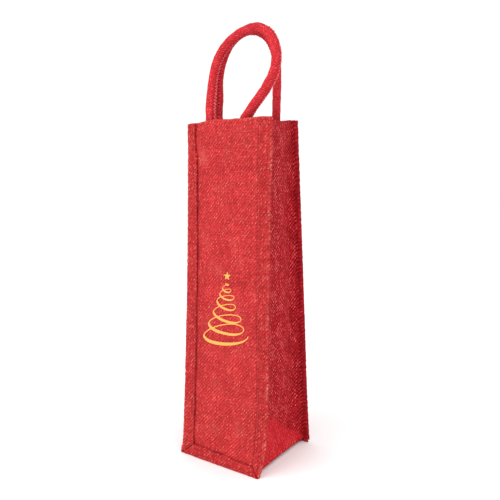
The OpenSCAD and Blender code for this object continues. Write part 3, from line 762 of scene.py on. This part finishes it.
def gusset():
    """One strip: inside the left mouth, over its rim, down the left side, under the base and up the right."""
    t = np.concatenate([np.linspace(0, 0.1, 8), np.linspace(0.13, 0.87, 34), np.linspace(0.9, 1, 8)])
    half, radius = HALF_CLOTH, 4.3
    up = np.concatenate([np.linspace(5, 40, 22), np.linspace(42.5, 320, 108), np.linspace(322.5, RIM_Z, 14)])

    def side_rows(k):
        def level_row(z, further_in=0.0):
            z = np.full_like(t, z)
            return z, side_inset(k, t, z) + half + further_in

        made = []
        for angle in np.radians([85, 68, 51, 34, 17]):
            lift = 5 - radius * math.sin(angle)
            made.append((np.full_like(t, lift), GUSSET_IN + half + radius * (1 - math.cos(angle))))
        made += [level_row(z) for z in up]
        for angle in np.radians([25, 60, 90, 120, 155]):
            made.append(level_row(RIM_Z + RIM_R * math.sin(angle), RIM_R * (1 - math.cos(angle))))
        made += [level_row(z, 2 * RIM_R) for z in np.linspace(RIM_Z, HEM_EDGE_Z, 9)]
        grid = []
        for z, depth in made:
            length = face_len(k, z)
            a = GUSSET_END + (length - 2 * GUSSET_END) * t
            # the edges turn out into the bindings
            from_end = np.minimum(a - GUSSET_END, length - GUSSET_END - a)
            turn_out = np.clip(1 - from_end / GUSSET_END, 0, 1) ** 2 * smooth((z - 6) / 8) * (z < 349.0)
            depth = depth - turn_out * GUSSET_END
            sunk = 2.4 * (1 - t) * smooth((z - 270) / 80) if k == RIGHT else 0
            z = z + foot_arch(t) * np.exp(-z / 22) - sunk
            a = a if k == RIGHT else length - a
            grid.append(on_face(k, a, depth, z))
        return np.array(grid)

    left, right_side = side_rows(LEFT), side_rows(RIGHT)
    base_rows = []
    for s in np.linspace(0.03, 0.97, 34):
        x = -50 + GUSSET_IN + half + radius + (100 - 2 * (GUSSET_IN + half + radius)) * s
        y = -50 + GUSSET_END + (100 - 2 * GUSSET_END) * t
        bow = np.sin(math.pi * t)
        lift = half + 0.02 + 0.9 * math.sin(math.pi * s) * bow + 0.12 * (1 + ripple(x + 0 * y, y, 30, 71)) * bow
        lift = lift + foot_arch(t) * (math.exp(-s * 90 / 14) + math.exp(-(1 - s) * 90 / 14))
        base_rows.append(np.stack([x + 0 * y, y, lift], -1))
    middle = np.concatenate([left[::-1], np.array(base_rows), right_side])
    out = normals_of(middle)
    outer, inner = middle + out * half, middle - out * half
    probe = len(left) + 16
    if out[probe, 20, 2] > 0:
        outer, inner = inner, outer
    along = np.concatenate([[0], np.cumsum(np.linalg.norm(np.diff(middle[:, 25], axis=0), axis=1))])
    # the cloth is as wide as its way across the right side, turned edges and all
    halfway = middle[len(left) + len(base_rows) + len(right_side) // 2]
    across = np.concatenate([[0], np.cumsum(np.linalg.norm(np.diff(halfway, axis=0), axis=1))])
    uv = np.stack(np.broadcast_arrays(across[None, :], along[:, None]), -1)
    edge = np.minimum(t, 1 - t)[None, :] + 0 * along[:, None]
    z_of = middle[..., 2]
    # painted shade along the edges where they turn into the bindings, and random tone
    painted_light_and_tone = 0.5 - 0.1 * np.clip(1 - edge / 0.04, 0, 1) + 0.05 * ripple(90 * t[None, :], along[:, None], 24, 72)
    # painted shade: the back part of each side, turned inwards, is painted darkest
    painted_light_and_tone = painted_light_and_tone - (0.09 * smooth((t - 0.6) / 0.3) + 0.04 * smooth((t - 0.92) / 0.05))[None, :] * (z_of > 14)
    # painted highlight along the foot's bend
    painted_light_and_tone = painted_light_and_tone + 0.1 * hump(z_of, 3.5, 2.5)
    piece = cloth("gusset_cloth", outer, inner, uv, gusset_jute, "bag", ["gusset", "gusset_hems"],
                  np.clip(painted_light_and_tone, 0, 1))
    # painted highlight: the taut triangle under each side's crease is painted lighter, fading a little way above the
    # crease
    kink = 66 * (1 - t) + 8 * t
    over = 0.2 * np.exp(-np.clip(z_of - kink[None, :], 0, None) / 25)
    wear_and_painted_light = np.maximum(smooth((kink[None, :] - z_of + 2) / 5), over) * smooth((z_of - 3) / 5)
    both = np.concatenate([wear_and_painted_light.ravel(), 0 * wear_and_painted_light.ravel()]).astype(np.float32)
    piece.data.attributes.new("wear_and_painted_light", "FLOAT", "POINT").data.foreach_set("value", both)
    return piece


gusset()
panel("front", FRONT)
panel("back", BACK)
binding_side("front_edge_left", FRONT, False, left_width, 0.97, 0.0, 0.6, "front_binding_left")
binding_side("front_edge_right", FRONT, True, right_width, 1.0, 0.7, 0.0, "front_binding_right")
binding_base("front_edge_base", FRONT, base_width, (0.97, 1.0), "front_binding_base")
binding_side("back_edge_right", BACK, False, plain_width, 1.0, 0.0, 0.9, "back_binding_right")
binding_side("back_edge_left", BACK, True, plain_width, 1.0, 0.0, 0.4, "back_binding_left")
binding_base("back_edge_base", BACK, back_base_width, (1.0, 1.0), "back_binding_base")

# ---- Topstitching ----


def row_up(k, distance_of, far, low, high, pitch=3.3, depth=0.02):
    spots = []
    for z in np.arange(low, high, pitch):
        d = float(distance_of(np.array(z)))
        above_d = float(distance_of(np.array(z + 1)))
        here, there, beside = (on_face(k, d, depth, z, far), on_face(k, above_d, depth, z + 1, far),
                               on_face(k, d + 1, depth, z, far))
        out = unit(np.cross(there - here, beside - here))
        want = on_face(k, d, depth - 1, z, far) - here
        spots.append((here, there - here, out if out @ want > 0 else -out))
    return spots


def row_across(k, height_of, first, last, pitch=3.3, depth_of=lambda a: 0.02):
    spots = []
    for a in np.arange(first, last, pitch):
        z = float(height_of(a))
        here, there = on_face(k, a, depth_of(a), z), on_face(k, a + 1, depth_of(a + 1), float(height_of(a + 1)))
        spots.append((here, there - here, on_face(k, a, depth_of(a) - 1, z) - here))
    return spots


for side, k in (("front", FRONT), ("back", BACK)):
    near, beyond = (left_width, right_width) if k == FRONT else (plain_width, plain_width)
    low = base_width if k == FRONT else back_base_width
    spots = row_up(k, lambda z: near(z) - 1.3, False, 15, 348)
    spots += row_up(k, lambda z: beyond(z) - 1.7, True, 12, 348)
    spots += row_across(k, lambda a: low(np.array(a)) - 1.6, 15, 87)
    if k == FRONT:
        spots += row_up(k, lambda z: 1.7 + 0 * z, True, 8, 348, 3.0, 0.2)
    stitches(f"{side}_edge_thread", spots, 2.3, 0.75, 0.5, thread, "bag", [f"{side}_binding_stitches"])

hem_spots = []
for k in (FRONT, BACK):
    face = lambda a: float(panel_depth(k, np.array(a), np.array(HEM_SEAM_Z))) - 0.1
    hem_spots += row_across(k, lambda a: HEM_SEAM_Z, 15, 85, 3.3, face)
for k in (RIGHT, LEFT):
    length = float(face_len(k, HEM_SEAM_Z))
    share_of = lambda a: (a if k == RIGHT else length - a) / length
    inset = lambda a: float(side_inset(k, np.array(share_of(a)), np.array(HEM_SEAM_Z))) - 0.12
    hem_spots += row_across(k, lambda a: HEM_SEAM_Z, 8, length - 7, 3.3, inset)
stitches("hem_thread", hem_spots, 2.3, 0.7, 0.5, thread, "bag", ["hem_stitches"])

# ---- Print: a ribbon wound into a cone, with a star over it ----

INK = 0.16
STAR_AT = (52.0, 198.5)
# Passes across the panel from the lowest up: middle, half width, height of the ends, sag, rise to the right
PASSES = np.array([[51, 28.2, 137.5, 8.7, 3.4], [51.3, 22.6, 147.2, 7.7, -0.5], [52.3, 18, 158.7, 6.5, -1.8],
                   [51, 12.2, 170.3, 5.6, -2.1], [51.9, 9.6, 178.8, 4.2, -0.9], [51.7, 5.9, 185.4, 3.1, -0.7],
                   [52.3, 2.8, 191, 1.5, -0.4]])


def ribbon():
    """Ribbon wound up a cone: whole turns are the middles of the passes in front."""
    t = np.linspace(-0.25, 6.25, 6 * 72 + 37)
    n = np.floor(t + 0.25)
    part = n + smooth(2 * (t - n) - 0.5)
    middle, half_width, ends, sag, rise = [np.interp(part, np.arange(7), PASSES[:, c]) for c in range(5)]
    half_width = half_width - 0.9
    turn = 2 * math.pi * t
    drop = np.cos(turn) * np.where(np.cos(turn) < 0, 0.85, 1)
    p = np.stack([middle - half_width * np.sin(turn), ends - sag * drop - rise * np.sin(turn)], -1)
    way = unit(np.gradient(p, axis=0))
    normal = np.stack([-way[:, 1], way[:, 0]], -1)
    front_pass = np.clip(np.cos(turn), 0, 1)
    # each pass is thickest left of its middle
    swollen = np.clip(np.cos(turn - 0.5), 0, 1) ** 0.8 * (front_pass > 0)
    half = (1 - 0.65 * np.clip(t, 0, 6) / 6) * (0.46 + 1.12 * swollen)
    half = half * smooth((t + 0.27) / 0.06) * smooth((6.27 - t) / 0.05) + 0.08
    grids = []
    for depth_off in (INK, -0.25):
        offsets = np.linspace(-1, 1, 7)
        a = p[:, 0, None] + normal[:, 0, None] * half[:, None] * offsets
        z = p[:, 1, None] + normal[:, 1, None] * half[:, None] * offsets
        # a pass in front lies over the stroke behind it
        lap = 0.05 * front_pass[:, None]
        grids.append(on_face(FRONT, a, panel_depth(FRONT, a, z) - depth_off - lap * (depth_off > 0), z))
    uv = np.stack([a, z], -1)
    return cloth("ribbon_print", grids[0], grids[1], uv, gold, "bag", ["print_ribbon"])


def star():
    angles = np.radians(np.arange(0, 360, 36))
    radius = np.where(np.arange(10) % 2 == 0, 4.4, 1.85)
    a = STAR_AT[0] + np.concatenate([[0], radius * np.sin(angles)])
    z = STAR_AT[1] + np.concatenate([[0], radius * np.cos(angles)])
    points, uvs = [], []
    for depth_off in (INK, -0.25):
        crown = (0.12 if depth_off > 0 else 0) * (np.arange(11) == 0)
        points.append(on_face(FRONT, a, panel_depth(FRONT, a, z) - depth_off - crown, z))
        uvs.append(np.stack([a, z], -1))
    faces = []
    for i in range(10):
        j = (i + 1) % 10
        faces += [(0, 1 + i, 1 + j), (11, 12 + j, 12 + i), (1 + i, 12 + i, 12 + j, 1 + j)]
    flat = np.concatenate(uvs)
    return make("star_print", np.concatenate(points), faces, [flat[list(f)] for f in faces], gold, "bag",
                ["print_star"], sharp=30)


ribbon()
star()

# ---- Floor and light ----

floor_mesh = bpy.data.meshes.new("floor")
floor_mesh.from_pydata([(-6, -6, 0), (6, -6, 0), (6, 6, 0), (-6, 6, 0)], [], [(0, 1, 2, 3)])
floor = bpy.data.objects.new("floor", floor_mesh)
bpy.context.scene.collection.objects.link(floor)
pale = Nodes("pale_floor")
pale.shader.inputs["Base Color"].default_value = (0.94, 0.94, 0.94, 1)
pale.shader.inputs["Roughness"].default_value = 0.9
pale.shader.inputs["Specular IOR Level"].default_value = 0.1
floor_mesh.materials.append(pale.material)

world = bpy.data.worlds.new("studio")
world.use_nodes = True
world.node_tree.nodes["Background"].inputs[0].default_value = (1, 1, 1, 1)
world.node_tree.nodes["Background"].inputs[1].default_value = 1.07
bpy.context.scene.world = world
bpy.context.scene.view_settings.view_transform = "Standard"


def lamp(name, place, aim, size, power):
    data = bpy.data.lights.new(name, "AREA")
    data.shape, data.size, data.energy = "DISK", size, power
    obj = bpy.data.objects.new(name, data)
    obj.location = place
    obj.rotation_euler = (Vector(aim) - Vector(place)).to_track_quat("-Z", "Y").to_euler()
    bpy.context.scene.collection.objects.link(obj)


lamp("key", (-0.6, -1.35, 1.1), (0, 0, 0.2), 1.6, 14)
lamp("side", (1.0, -0.3, 1.5), (0, 0, 0.15), 1.2, 5)
